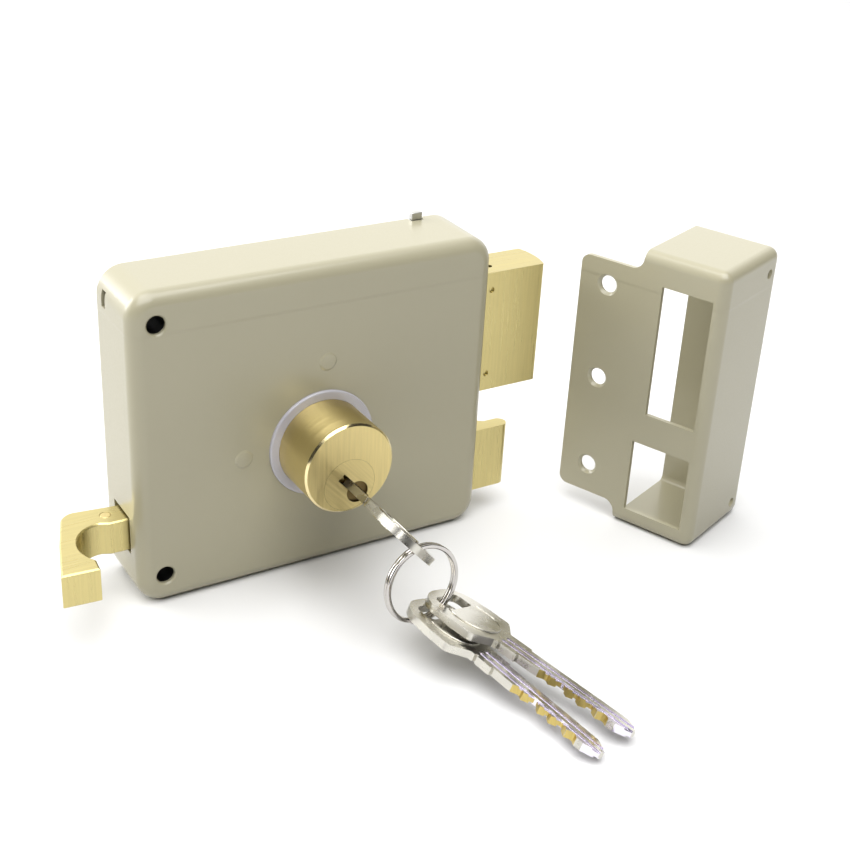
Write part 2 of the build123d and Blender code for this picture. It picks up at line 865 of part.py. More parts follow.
with BuildPart() as latch_pin:
    with BuildSketch(level(latch_low)):
        with Locations((latch_pin_at, (bar_front + bar_back) / 2)):
            Circle(latch_pin_radius - seat_gap)
    extrude(amount=latch_high - latch_low)
latch_pin.part.label = "latch_pin"
export_step(latch_pin.part, "parts/latch_pin.step")

with BuildPart() as pull_pin:
    with BuildSketch(level(pull_low)):
        with Locations(pull_pin_place):
            Circle(pull_pin_radius - seat_gap)
    extrude(amount=pull_high - pull_low)
pull_pin.part.label = "pull_pin"
export_step(pull_pin.part, "parts/pull_pin.step")

# Bracket that guides the bar, and the sleeve that stands for the latch spring
bracket_at = 4.0
bracket_foot = 12.0
bracket_margin = 3.0
with BuildPart() as bar_guide:
    extrude(
        window(
            side_on(bracket_at),
            (bar_front - bracket_margin, bar_low - bracket_margin),
            (-plate_thick, bar_high + bracket_margin / 2),
        ),
        amount=sheet,
    )
    extrude(
        window(
            side_on(bracket_at),
            (bar_front - slide_gap, bar_low - slide_gap),
            (bar_back + slide_gap, bar_high + slide_gap),
        ),
        amount=sheet,
        mode=Mode.SUBTRACT,
    )
    extrude(
        window(
            facing(-plate_thick),
            (bracket_at - bracket_foot, bar_low - bracket_margin),
            (bracket_at, bar_high + bracket_margin / 2),
        ),
        amount=sheet,
    )
bar_guide.part.label = "bar_guide"
export_step(bar_guide.part, "parts/bar_guide.step")

spring_inner = 4.1
latch_spring_wall = 0.8
with BuildPart() as latch_spring:
    with BuildSketch(side_on(bracket_at + sheet)):
        with Locations(((bar_front + bar_back) / 2, (bar_low + bar_high) / 2)):
            Circle(spring_inner + latch_spring_wall)
            Circle(spring_inner, mode=Mode.SUBTRACT)
    extrude(amount=latch_start - bracket_at - sheet)
latch_spring.part.label = "latch_spring"
export_step(latch_spring.part, "parts/latch_spring.step")

# Keeper: a folded box with a screw flange, standing turned beside the lock
keeper_corner = (91.96, -25.36)
keeper_turn = -68.57
keeper_height = 96.6
keeper_width = 51.1
keeper_depth = 35.4
keeper_fold = 3.5
keeper_mouth = 22.0
flange_low = 7.0
flange_high = 90.2
flange_corner = 3.0
flange_blend = 4.0
keeper_hole = 2.8
keeper_sink = 0.8
keeper_hole_heights = (82.0, 49.5, 17.05)
keeper_hole_in = 10.07
bolt_window = (29.3, 42.5, 47.0, 86.8)
latch_window = (26.0, 6.2, 47.0, 31.7)
side_hole_depth = 28.9
side_hole_heights = (89.0, 5.9)
side_hole_radius = 1.6
keeper_plane = Plane(
    origin=(keeper_corner[0], keeper_corner[1], floor_z),
    x_dir=(cos(radians(keeper_turn)), sin(radians(keeper_turn)), 0),
    z_dir=(0, 0, 1),
)


def keeper_block(inset, mouth):
    """Keeper's box form in its own frame, set in from the outside by inset."""
    reach = keeper_width - mouth - inset
    with BuildPart(mode=Mode.PRIVATE) as form:
        with BuildSketch(side_on(mouth)):
            with Locations((keeper_depth / 2, keeper_height / 2)):
                RectangleRounded(
                    keeper_depth - 2 * inset, keeper_height - 2 * inset, keeper_fold - inset
                )
        extrude(amount=reach)
        fillet(form.faces().sort_by(Axis.X)[-1].edges(), keeper_fold - inset)
    return form.part


def keeper_form():
    """The whole keeper in its own frame: X along the flange, Y into the box."""
    with BuildPart(mode=Mode.PRIVATE) as form:
        add(keeper_block(0, keeper_mouth))
        add(keeper_block(sheet, keeper_mouth - overrun), mode=Mode.SUBTRACT)
        with BuildSketch(facing(sheet)) as flange:
            add(window(Plane.XY, (0, flange_low), (keeper_mouth + keeper_fold, flange_high)))
            ends = flange.vertices().group_by(Axis.X)[0]
            fillet(ends, flange_corner)
            for edge, side in ((flange_low, -1), (flange_high, 1)):
                with Locations((keeper_mouth - flange_blend / 2, edge + side * flange_blend / 2)):
                    Rectangle(flange_blend, flange_blend)
                with Locations((keeper_mouth - flange_blend, edge + side * flange_blend)):
                    Circle(flange_blend, mode=Mode.SUBTRACT)
        extrude(amount=sheet)
        for low_x, low_z, high_x, high_z in (bolt_window, latch_window):
            extrude(
                window(facing(sheet + overrun), (low_x, low_z), (high_x, high_z)),
                amount=sheet + 2 * overrun,
                mode=Mode.SUBTRACT,
            )
        places = [(keeper_hole_in, z) for z in keeper_hole_heights]
        rods(places, keeper_hole, -overrun, sheet + overrun, Mode.SUBTRACT)
        rims = form.edges().filter_by(GeomType.CIRCLE).group_by(Axis.Y)[0]
        rims = rims.filter_by(lambda e: abs(e.radius - keeper_hole) < seat_gap)
        chamfer(rims, keeper_sink)
        with BuildSketch(side_on(keeper_width + overrun)):
            with Locations(*[(side_hole_depth, z) for z in side_hole_heights]):
                Circle(side_hole_radius)
        extrude(amount=-sheet - 2 * overrun, mode=Mode.SUBTRACT)
    return form.part


with BuildPart() as keeper_box:
    with Locations(Location(keeper_plane)):
        add(keeper_form())
keeper_box.part.label = "keeper_box"
export_step(keeper_box.part, "parts/keeper_box.step")

# Key in the lock, with its cuts against the pins
lock_bow_end = body_front + key_in_depth - key_length
lock_key_plane = Plane(
    origin=(
        slot_out[0] * key_offset,
        lock_bow_end,
        plug_z + slot_out[1] * key_offset,
    ),
    x_dir=(0, 1, 0),
    z_dir=(-slot_out[1], 0, slot_out[0]),
)
with BuildPart() as key_in_lock:
    with Locations(Location(lock_key_plane)):
        add(key_form())
key_in_lock.part.label = "key_in_lock"
export_step(key_in_lock.part, "parts/key_in_lock.step")

# Split ring that hangs from the key in the lock
ring_outer = 12.3
ring_radial = 1.5
ring_axial = 2.2
ring_edge = 0.5
ring_right = 4.6
ring_drop = 14.85
ring_in_bow = 4.8
ring_centre = (ring_right, lock_bow_end + ring_in_bow, plug_z - ring_drop)
ring_normal_shares = (-0.07, 0.99, -0.11)
ring_plane = Plane(origin=ring_centre, z_dir=ring_normal_shares)
with BuildPart() as split_ring:
    with BuildSketch(ring_plane.offset(-ring_axial / 2)):
        Circle(ring_outer)
        Circle(ring_outer - ring_radial, mode=Mode.SUBTRACT)
    extrude(amount=ring_axial)
    chamfer(split_ring.edges().filter_by(GeomType.CIRCLE), ring_edge)
split_ring.part.label = "split_ring"
export_step(split_ring.part, "parts/split_ring.step")

# Spare keys: each bow leans to the right on the ring, each tip on the floor
spare_lean_angle = 20.0
spare_a_right = 8.0
spare_a_behind = 5.0
spare_a_under = 9.0
spare_a_heading_angle = 17.5
spare_a_dip_angle = 8.0
spare_a_bow = (
    ring_centre[0] + spare_a_right,
    ring_centre[1] + spare_a_behind,
    ring_centre[2] - spare_a_under,
)
spare_b_right = 2.4
spare_b_behind = 4.7
spare_b_under = 10.2
spare_b_heading_angle = 12.2
spare_b_dip_angle = 7.8
spare_b_bow = (
    ring_centre[0] + spare_b_right,
    ring_centre[1] + spare_b_behind,
    ring_centre[2] - spare_b_under,
)


def spare_plane(bow, heading, dip):
    """Plane of a spare key, from the middle of its bow's end towards its tip."""
    ahead = radians(heading)
    down = radians(dip)
    roll = radians(spare_lean_angle)
    along = (sin(ahead) * cos(down), -cos(ahead) * cos(down), -sin(down))
    across = (cos(ahead), sin(ahead), 0)
    normal = (
        across[1] * along[2] - across[2] * along[1],
        across[2] * along[0] - across[0] * along[2],
        across[0] * along[1] - across[1] * along[0],
    )
    leaned = tuple(n * cos(roll) - a * sin(roll) for n, a in zip(normal, across))
    return Plane(origin=bow, x_dir=along, z_dir=leaned)


with BuildPart() as spare_key_a:
    with Locations(Location(spare_plane(spare_a_bow, spare_a_heading_angle, spare_a_dip_angle))):
        add(key_form())
spare_key_a.part.label = "spare_key_a"
export_step(spare_key_a.part, "parts/spare_key_a.step")

with BuildPart() as spare_key_b:
    with Locations(Location(spare_plane(spare_b_bow, spare_b_heading_angle, spare_b_dip_angle))):
        add(key_form())
spare_key_b.part.label = "spare_key_b"
export_step(spare_key_b.part, "parts/spare_key_b.step")
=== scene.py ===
import bmesh
import bpy
from math import acos, cos, pi, radians, sin
from mathutils import Matrix, Quaternion, Vector


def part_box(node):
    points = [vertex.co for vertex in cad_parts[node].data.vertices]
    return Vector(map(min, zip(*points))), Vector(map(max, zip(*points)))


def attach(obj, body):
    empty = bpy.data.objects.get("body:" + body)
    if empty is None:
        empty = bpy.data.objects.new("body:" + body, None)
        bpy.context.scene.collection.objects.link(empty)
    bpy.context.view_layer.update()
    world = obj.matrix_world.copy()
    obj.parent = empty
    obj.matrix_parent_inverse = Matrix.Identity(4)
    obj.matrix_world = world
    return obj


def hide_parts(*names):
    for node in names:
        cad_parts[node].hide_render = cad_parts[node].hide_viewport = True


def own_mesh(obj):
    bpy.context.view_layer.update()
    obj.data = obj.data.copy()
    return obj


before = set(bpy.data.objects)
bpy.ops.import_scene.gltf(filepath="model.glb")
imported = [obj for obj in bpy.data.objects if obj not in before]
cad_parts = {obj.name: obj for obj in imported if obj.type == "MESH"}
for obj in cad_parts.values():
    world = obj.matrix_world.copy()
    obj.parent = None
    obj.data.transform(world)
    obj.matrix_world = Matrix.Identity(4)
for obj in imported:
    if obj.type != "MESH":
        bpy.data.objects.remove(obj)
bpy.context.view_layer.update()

mm = 0.001

# The view is the photograph's own: a long lens, a little rolled, looking down
# from the left at a lock that stands on its lower edge.
camera_place = Vector((-180.5, -370.5, 212.3)) * mm
camera_azimuth = radians(32.15)
camera_drop = radians(27.76)
camera_roll = radians(3.20)
camera_lens = 61.9
film_wide = 36
nearest_seen = 0.01
farthest_seen = 20

ahead = Vector(
    (
        sin(camera_azimuth) * cos(camera_drop),
        cos(camera_azimuth) * cos(camera_drop),
        -sin(camera_drop),
    )
)
view = bpy.data.objects.new("photo_view", bpy.data.cameras.new("photo_view"))
bpy.context.collection.objects.link(view)
view.location = camera_place
view.rotation_mode = "QUATERNION"
view.rotation_quaternion = ahead.to_track_quat("-Z", "Y") @ Quaternion((0, 0, 1), camera_roll)
view.data.lens = camera_lens
view.data.sensor_width = film_wide
view.data.clip_start = nearest_seen
view.data.clip_end = farthest_seen
bpy.context.scene.camera = view

# A white seamless table. The light comes from a bright wall behind the lock and
# softboxes above and on the left, and the room on the camera's side is dim.
floor_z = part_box("case_cover")[0][2]
floor_reach = 3.0
paper_white = (0.68, 0.68, 0.68)
paper_dark = (0.67, 0.67, 0.67)
paper_light = (0.69, 0.69, 0.69)
even = (1, 1, 1)


def material(name, colour, metallic, roughness):
    """A new material and its tree and shader, with its even values set."""
    made = bpy.data.materials.new(name)
    made.use_nodes = True
    tree = made.node_tree
    shader = tree.nodes["Principled BSDF"]
    shader.inputs["Base Color"].default_value = (*colour, 1)
    shader.inputs["Metallic"].default_value = metallic
    shader.inputs["Roughness"].default_value = roughness
    return made, tree, shader


def noise(tree, stretch, scale, detail=2.0, turn=0.0):
    """Noise in object space, turned about Y, finer along the axes with more stretch."""
    place = tree.nodes.new("ShaderNodeTexCoord")
    lay = tree.nodes.new("ShaderNodeMapping")
    lay.vector_type = "TEXTURE"
    lay.inputs["Rotation"].default_value = (0, turn, 0)
    lay.inputs["Scale"].default_value = [1 / along for along in stretch]
    texture = tree.nodes.new("ShaderNodeTexNoise")
    texture.inputs["Scale"].default_value = scale
    texture.inputs["Detail"].default_value = detail
    tree.links.new(place.outputs["Object"], lay.inputs["Vector"])
    tree.links.new(lay.outputs["Vector"], texture.inputs["Vector"])
    return texture.outputs["Fac"]


def spread(tree, source, low, high, start=0.3, end=0.7):
    """The source's range from start to end mapped smoothly to low and high."""
    ramp = tree.nodes.new("ShaderNodeMapRange")
    ramp.interpolation_type = "SMOOTHSTEP"
    ramp.inputs["From Min"].default_value = start
    ramp.inputs["From Max"].default_value = end
    ramp.inputs["To Min"].default_value = low
    ramp.inputs["To Max"].default_value = high
    tree.links.new(source, ramp.inputs["Value"])
    return ramp.outputs["Result"]


def tint(tree, shader, source, dark, light):
    """The base colour runs between two tones with the source."""
    mix = tree.nodes.new("ShaderNodeMix")
    mix.data_type = "RGBA"
    mix.inputs["A"].default_value = (*dark, 1)
    mix.inputs["B"].default_value = (*light, 1)
    tree.links.new(source, mix.inputs["Factor"])
    tree.links.new(mix.outputs["Result"], shader.inputs["Base Color"])


def bumps(tree, shader, source, depth):
    """The source as a fine relief, depth in metres, over any relief made before."""
    relief = tree.nodes.new("ShaderNodeBump")
    relief.inputs["Distance"].default_value = depth
    tree.links.new(source, relief.inputs["Height"])
    for link in shader.inputs["Normal"].links:
        tree.links.new(link.from_socket, relief.inputs["Normal"])
    tree.links.new(relief.outputs["Normal"], shader.inputs["Normal"])


paper, paper_tree, paper_shader = material("seamless_paper", paper_white, 0, roughness=0.9)
tint(paper_tree, paper_shader, noise(paper_tree, even, scale=3.0), paper_dark, paper_light)
table = bpy.data.objects.new("table", bpy.data.meshes.new("table"))
bpy.context.collection.objects.link(table)
sheet = bmesh.new()
bmesh.ops.create_grid(sheet, x_segments=2, y_segments=2, size=floor_reach)
bmesh.ops.translate(sheet, verts=sheet.verts, vec=(0, 0, floor_z))
sheet.to_mesh(table.data)
sheet.free()
table.data.materials.append(paper)


def softbox(name, place, size, power):
    """A square area light at a place, aimed at the lock."""
    lamp = bpy.data.lights.new(name, "AREA")
    lamp.shape = "SQUARE"
    lamp.size = size
    lamp.energy = power
    light = bpy.data.objects.new(name, lamp)
    bpy.context.collection.objects.link(light)
    light.location = place
    light.rotation_mode = "QUATERNION"
    light.rotation_quaternion = (-Vector(place)).to_track_quat("-Z", "Y")


softbox("overhead", place=(-0.25, -0.52, 1.80), size=2.0, power=62.0)
softbox("left_window", place=(-1.6, 1.70, 0.90), size=1.4, power=38.0)

room_white = (1.0, 0.995, 0.985)
wall_light = 1.5
room_light = 0.04
wall_starts = -0.15
wall_full = 0.45
world = bpy.data.worlds.new("room")
bpy.context.scene.world = world
world.use_nodes = True
room = world.node_tree
backdrop = room.nodes["Background"]
backdrop.inputs["Color"].default_value = (*room_white, 1)
direction = room.nodes.new("ShaderNodeTexCoord")
split = room.nodes.new("ShaderNodeSeparateXYZ")
room.links.new(direction.outputs["Generated"], split.inputs["Vector"])
wall = spread(room, split.outputs["Y"], room_light, wall_light, wall_starts, wall_full)
room.links.new(wall, backdrop.inputs["Strength"])
bpy.context.scene.view_settings.view_transform = "Standard"

# The case is a deep-drawn steel cover in gloss cream enamel. The press left a
# faint line round it under its top, and the paint has a slight orange peel.
cover_ease = 0.25 * mm
ease_steps = 3
join_gap = 0.002 * mm
flat_turn = radians(0.5)
crease = radians(32)
drawn_line_under_top = 11.5 * mm
drawn_line_half = 1.3 * mm
drawn_line_deep = 0.10 * mm
peel_deep = 0.010 * mm
cream = (0.350, 0.326, 0.226)
cream_dark = (0.345, 0.321, 0.222)
cream_light = (0.355, 0.331, 0.230)
clear_coat = 0.3
clear_coat_rough = 0.15


def enamel(name, node):
    """Gloss cream enamel with the drawn line that lies under the node's top."""
    made, tree, shader = material(name, cream, 0, roughness=0.32)
    tint(tree, shader, noise(tree, even, scale=18.0), cream_dark, cream_light)
    gloss = spread(tree, noise(tree, even, scale=1600.0), low=0.29, high=0.35)
    tree.links.new(gloss, shader.inputs["Roughness"])
    bumps(tree, shader, noise(tree, even, scale=380.0, detail=1.0), peel_deep)
    shader.inputs["Coat Weight"].default_value = clear_coat
    shader.inputs["Coat Roughness"].default_value = clear_coat_rough
    place = tree.nodes.new("ShaderNodeTexCoord")
    heights = tree.nodes.new("ShaderNodeSeparateXYZ")
    tree.links.new(place.outputs["Object"], heights.inputs["Vector"])
    line_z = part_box(node)[1][2] - drawn_line_under_top
    below = spread(tree, heights.outputs["Z"], 0, 1, line_z - drawn_line_half, line_z)
    bumps(tree, shader, below, drawn_line_deep)
    return made


def eased(node, name, width):
    """A CAD node's form with its flats made whole and its edges eased by width."""
    form = bmesh.new()
    form.from_mesh(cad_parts[node].data)
    bmesh.ops.remove_doubles(form, verts=form.verts, dist=join_gap)
    bmesh.ops.dissolve_limit(form, angle_limit=flat_turn, verts=form.verts, edges=form.edges)
    mesh = bpy.data.meshes.new(name)
    form.to_mesh(mesh)
    form.free()
    mesh.polygons.foreach_set("use_smooth", [True] * len(mesh.polygons))
    piece = bpy.data.objects.new(name, mesh)
    bpy.context.collection.objects.link(piece)
    edge = piece.modifiers.new("eased", "BEVEL")
    edge.width = width
    edge.segments = ease_steps
    edge.limit_method = "ANGLE"
    edge.angle_limit = crease
    flats = piece.modifiers.new("flats", "WEIGHTED_NORMAL")
    flats.weight = 100
    flats.keep_sharp = True
    return settled(piece)


def settled(piece):
    """The piece as a plain mesh, its modifiers applied."""
    graph = bpy.context.evaluated_depsgraph_get()
    mesh = bpy.data.meshes.new_from_object(piece.evaluated_get(graph), depsgraph=graph)
    piece.modifiers.clear()
    piece.data = mesh
    return piece


def dressed(node, name, body, slot, width, *coats):
    """An eased piece that stands for a node, rides with its body and has its coats."""
    piece = eased(node, name, width)
    for coat in coats:
        piece.data.materials.append(coat)
    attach(piece, body)
    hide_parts(node)
    return piece


case_cream = enamel("case_enamel", "case_cover")
dressed("case_cover", "cover", "case", "case_paint", cover_ease, case_cream)

# Two rivet ends stand a little proud of the cover's front. They were painted
# with it, so the paint runs over each as a low mound with a soft foot.
mound_top = 2.25 * mm
mound_foot = 3.1 * mm
mound_high = 0.33 * mm
mound_sunk = 0.03 * mm
mound_sides = 48
mound_rings = 8
rivet_end_ease = 0.2 * mm


def size_tree(name, *sizes):
    """An empty Geometry Nodes tree with its inputs, and the sockets that give them."""
    tree = bpy.data.node_groups.new(name, "GeometryNodeTree")
    tree.interface.new_socket("Geometry", in_out="OUTPUT", socket_type="NodeSocketGeometry")
    tree.interface.new_socket("Points", in_out="INPUT", socket_type="NodeSocketGeometry")
    tree.interface.new_socket("Coat", in_out="INPUT", socket_type="NodeSocketMaterial")
    for size in sizes:
        tree.interface.new_socket(size, in_out="INPUT", socket_type="NodeSocketFloat")
    return tree, tree.nodes.new("NodeGroupInput").outputs


def put(tree, kind, inputs, **settings):
    """Adds a node with its settings, each input linked to a socket or set to a value."""
    node = tree.nodes.new(kind)
    for setting, value in settings.items():
        setattr(node, setting, value)
    for name, value in inputs.items():
        if isinstance(value, bpy.types.Node):
            tree.links.new(value.outputs[0], node.inputs[name])
        elif isinstance(value, bpy.types.NodeSocket):
            tree.links.new(value, node.inputs[name])
        else:
            node.inputs[name].default_value = value
    return node


def finished_tree(tree, shape, coat):
    """Ends a tree: real geometry with its coat goes to the output."""
    real = put(tree, "GeometryNodeRealizeInstances", {"Geometry": shape})
    coated_shape = put(tree, "GeometryNodeSetMaterial", {"Geometry": real, "Material": coat})
    put(tree, "NodeGroupOutput", {"Geometry": coated_shape})


def grown(name, tree, points, coat, place, sizes):
    """A plain smooth mesh grown by a tree from points, then laid out by place."""
    mesh = bpy.data.meshes.new(name)
    mesh.from_pydata(points, [], [])
    piece = bpy.data.objects.new(name, mesh)
    bpy.context.collection.objects.link(piece)
    growth = piece.modifiers.new("growth", "NODES")
    growth.node_group = tree
    for item in tree.interface.items_tree:
        if item.in_out == "INPUT" and item.name == "Coat":
            growth[item.identifier] = coat
        elif item.in_out == "INPUT" and item.name in sizes:
            growth[item.identifier] = sizes[item.name]
    settled(piece)
    piece.data.transform(place)
    piece.data.polygons.foreach_set("use_smooth", [True] * len(piece.data.polygons))
    piece.data.set_sharp_from_angle(angle=crease)
    return piece


mound_tree, mound_sizes = size_tree("painted_mounds", "Top", "Foot", "High", "Sunk")
cone = put(
    mound_tree,
    "GeometryNodeMeshCone",
    {
        "Vertices": mound_sides,
        "Side Segments": mound_rings,
        "Radius Top": mound_sizes["Top"],
        "Radius Bottom": mound_sizes["Foot"],
        "Depth": mound_sizes["High"],
    },
)
spot = put(mound_tree, "GeometryNodeInputPosition", {})
parts = put(mound_tree, "ShaderNodeSeparateXYZ", {"Vector": spot})
rise = put(
    mound_tree,
    "ShaderNodeMapRange",
    {
        "Value": parts.outputs["Z"],
        "From Max": mound_sizes["High"],
        "To Min": mound_sizes["Sunk"],
        "To Max": mound_sizes["High"],
    },
    interpolation_type="SMOOTHSTEP",
)
moved = put(
    mound_tree,
    "ShaderNodeCombineXYZ",
    {"X": parts.outputs["X"], "Y": parts.outputs["Y"], "Z": rise},
)
mound = put(mound_tree, "GeometryNodeSetPosition", {"Geometry": cone, "Position": moved})
mounds = put(
    mound_tree,
    "GeometryNodeInstanceOnPoints",
    {"Points": mound_sizes["Points"], "Instance": mound, "Rotation": (pi / 2, 0, 0)},
)
finished_tree(mound_tree, mounds, mound_sizes["Coat"])

front_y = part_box("case_cover")[0][1]
rivet_spots = []
for node in ("cover_post", "cover_stud"):
    low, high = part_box(node)
    rivet_spots.append(((low[0] + high[0]) / 2, front_y, (low[2] + high[2]) / 2))
rivet_paint = grown(
    "painted_rivet_ends",
    mound_tree,
    rivet_spots,
    case_cream,
    Matrix(),
    {"Top": mound_top, "Foot": mound_foot, "High": mound_high, "Sunk": -mound_sunk},
)
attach(rivet_paint, "case")
dressed("cover_post", "post_with_rivet_end", "case", "case_paint", rivet_end_ease, case_cream)
dressed("cover_stud", "stud_with_rivet_end", "case", "case_paint", rivet_end_ease, case_cream)

# The keeper is the same enamelled steel, folded into a box that is open on the
# side of the frame, with a flange for three countersunk screws.
keeper_cream = enamel("keeper_enamel", "keeper_box")
dressed("keeper_box", "keeper", "case", "case_paint", cover_ease, keeper_cream)

# Behind the cover are plain zinc-plated steel parts: the base plate with its
# tab, the guides, spacers, screws and bracket. The screw tubes are painted
# near-black as the shade inside the screw holes.
zinc_grey = (0.62, 0.62, 0.60)
spring_grey = (0.42, 0.42, 0.45)
# Painted shade: the near-black that stands for the shade inside the screw holes.
hole_shade_black = (0.035, 0.034, 0.033)
grain_along_x = (1, 30, 30)


def grained(tree, shader, grain, colour, dim, rough):
    """Tone and roughness run with the grain, from dim and low to full and high."""
    dark = tuple(dim * part for part in colour)
    tint(tree, shader, spread(tree, grain, 0, 1), dark, colour)
    tree.links.new(spread(tree, grain, *rough), shader.inputs["Roughness"])


def steel(name, colour, stretch, dim=0.88, rough=(0.28, 0.45)):
    """Plain or plated steel with a faint grain along one way."""
    made, tree, shader = material(name, colour, 1, roughness=0.35)
    grained(tree, shader, noise(tree, stretch, scale=60.0, detail=4.0), colour, dim, rough)
    bumps(tree, shader, noise(tree, stretch, scale=300.0), depth=0.004 * mm)
    return made


plated = steel("zinc_plate", zinc_grey, grain_along_x)
spring = steel("spring_steel", spring_grey, (20, 20, 1))
# Painted shade: near-black steel on the screw tubes for the dark inside the holes.
hole_shade = steel("hole_shade_steel", hole_shade_black, (1, 20, 1), dim=0.7, rough=(0.5, 0.65))
inner_nodes = {
    "base_plate": ("plate_with_tab", 0.2, plated),
    "screw_tubes": ("tubes_for_screws", 0.15, hole_shade),
    "bolt_guides": ("guides_for_bolt", 0.3, plated),
    "cylinder_spacers": ("spacers_behind_cylinder", 0.15, plated),
    "cylinder_screws": ("screws_behind_cylinder", 0.1, plated),
    "bar_guide": ("bracket_for_bar", 0.15, plated),
}
for node, (name, ease, coat) in inner_nodes.items():
    dressed(node, name, "case", "zinc_steel", ease * mm, coat)

# The springs are wound from wire: a row of small ones over the pins and a larger
# one that pushes the latch out. The split ring below is wound by the same tree.
pin_wire = 0.35 * mm
pin_rows = 5
pin_spring_turns = 6
latch_wire = 0.8 * mm
latch_spring_turns = 9
points_per_turn = 64
corner_points = 3
round_share = 0.48

wire_tree, wire_sizes = size_tree(
    "wound_wire",
    "Radius",
    "Turns",
    "Length",
    "Wide",
    "High",
    "Round",
    "Step Start",
    "Step End",
    "Step Low",
    "Step High",
)
coil = put(
    wire_tree,
    "GeometryNodeCurveSpiral",
    {
        "Resolution": points_per_turn,
        "Rotations": wire_sizes["Turns"],
        "Start Radius": wire_sizes["Radius"],
        "End Radius": wire_sizes["Radius"],
        "Height": wire_sizes["Length"],
    },
)
way_along = put(wire_tree, "GeometryNodeSplineParameter", {})
step = put(
    wire_tree,
    "ShaderNodeMapRange",
    {
        "Value": way_along,
        "From Min": wire_sizes["Step Start"],
        "From Max": wire_sizes["Step End"],
        "To Min": wire_sizes["Step Low"],
        "To Max": wire_sizes["Step High"],
    },
    interpolation_type="SMOOTHSTEP",
)
lift = put(wire_tree, "ShaderNodeCombineXYZ", {"Z": step})
stepped = put(wire_tree, "GeometryNodeSetPosition", {"Geometry": coil, "Offset": lift})
upright = put(wire_tree, "GeometryNodeSetCurveNormal", {"Curve": stepped}, mode="Z_UP")
section = put(
    wire_tree,
    "GeometryNodeCurvePrimitiveQuadrilateral",
    {"Width": wire_sizes["Wide"], "Height": wire_sizes["High"]},
)
eased_section = put(
    wire_tree,
    "GeometryNodeFilletCurve",
    {"Curve": section, "Radius": wire_sizes["Round"], "Count": corner_points},
    mode="POLY",
)
wire = put(
    wire_tree,
    "GeometryNodeCurveToMesh",
    {"Curve": upright, "Profile Curve": eased_section, "Fill Caps": True},
)
wires = put(
    wire_tree,
    "GeometryNodeInstanceOnPoints",
    {"Points": wire_sizes["Points"], "Instance": wire},
)
finished_tree(wire_tree, wires, wire_sizes["Coat"])


def wound_spring(name, node, points, place, radius, thick, turns, length):
    """Round wire wound in turns from each point along the Z of place, for a node."""
    sizes = {
        "Radius": radius - thick / 2,
        "Turns": turns,
        "Length": length - thick,
        "Wide": thick,
        "High": thick,
        "Round": round_share * thick,
    }
    piece = grown(name, wire_tree, points, spring, place, sizes)
    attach(piece, "case")
    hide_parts(node)
    return piece


low, high = (Vector(corner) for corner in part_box("pin_springs"))
pin_spring_radius = (high.x - low.x) / 2
row_step = (high.y - low.y - 2 * pin_spring_radius) / (pin_rows - 1)
wound_spring(
    "springs_on_pins",
    "pin_springs",
    [(0, row_step * i, 0) for i in range(pin_rows)],
    Matrix.Translation(((low.x + high.x) / 2, low.y + pin_spring_radius, low.z + pin_wire / 2)),
    radius=pin_spring_radius,
    thick=pin_wire,
    turns=pin_spring_turns,
    length=high.z - low.z,
)

low, high = (Vector(corner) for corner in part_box("latch_spring"))
middle = (low + high) / 2
latch_spring_end = Matrix.Translation((low.x + latch_wire / 2, middle.y, middle.z))
latch_spring = wound_spring(
    "spring_behind_latch",
    "latch_spring",
    [(0, 0, 0)],
    latch_spring_end @ Matrix.Rotation(pi / 2, 4, "Y"),
    radius=(high.z - low.z) / 2,
    thick=latch_wire,
    turns=latch_spring_turns,
    length=high.x - low.x,
)
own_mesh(latch_spring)

# The cylinder is turned from brass rod, with a satin side, a bright chamfer round
# its rim and a face brushed straight up and down. The plug that the key turns sits
# in it, with its pins, and a clip and a small gear behind. The walls of the plug's
# slot and of the gap round the plug are painted dark as the shade inside them.
barrel_ease = 0.12 * mm
plug_ease = 0.34 * mm
pin_ease = 0.1 * mm
pin_point_ease = 0.05 * mm
gear_ease = 0.1 * mm
rim_deep = 0.75 * mm
face_slack = 0.1 * mm
seam_half = 0.5 * mm
face_on = 0.95
rolled_off = 0.985
plug_turn = radians(42)
tool_marks_deep = 0.0006 * mm
brushing_deep = 0.006 * mm
round_the_axis = (0.02, 1, 0.02)
up_the_face = (30, 1, 1)
grain_along_z = (30, 30, 1)
yellow_brass = (0.71, 0.585, 0.27)
bright_brass = (0.90, 0.76, 0.42)
slot_shade_tone = (0.21, 0.15, 0.062)
seam_shade_tone = (0.035, 0.026, 0.012)


def turned_brass(name, colour, rough):
    """Brass with fine tool marks round an axis along Y."""
    made, tree, shader = material(name, colour, 1, roughness=0.3)
    lines = noise(tree, round_the_axis, scale=2600.0, detail=3.0)
    grained(tree, shader, lines, colour, dim=0.96, rough=rough)
    bumps(tree, shader, lines, tool_marks_deep)
    ring_way = tree.nodes.new("ShaderNodeTangent")
    ring_way.direction_type = "RADIAL"
    ring_way.axis = "Y"
    tree.links.new(ring_way.outputs["Tangent"], shader.inputs["Tangent"])
    shader.inputs["Anisotropic"].default_value = 0.75
    shader.inputs["Anisotropic Rotation"].default_value = 0.25
    return made


def brushed_brass(name, colour, stretch, turn=0.0, dim=0.86, rough=(0.28, 0.42)):
    """Satin brass with coarse and fine grain along the axis of least stretch."""
    made, tree, shader = material(name, colour, 1, roughness=0.33)
    coarse = noise(tree, stretch, scale=45.0, detail=6.0, turn=turn)
    grained(tree, shader, coarse, colour, dim, rough)
    fine = noise(tree, stretch, scale=110.0, detail=4.0, turn=turn)
    bumps(tree, shader, fine, brushing_deep)
    return made


def coated(piece, index, wanted):
    """Gives the coat with this index to the faces that are wanted."""
    for face in piece.data.polygons:
        if wanted(face):
            face.material_index = index


def from_plug(face):
    """How far a face's middle lies from the plug's axis."""
    return Vector((face.center.x, face.center.z - plug_z)).length


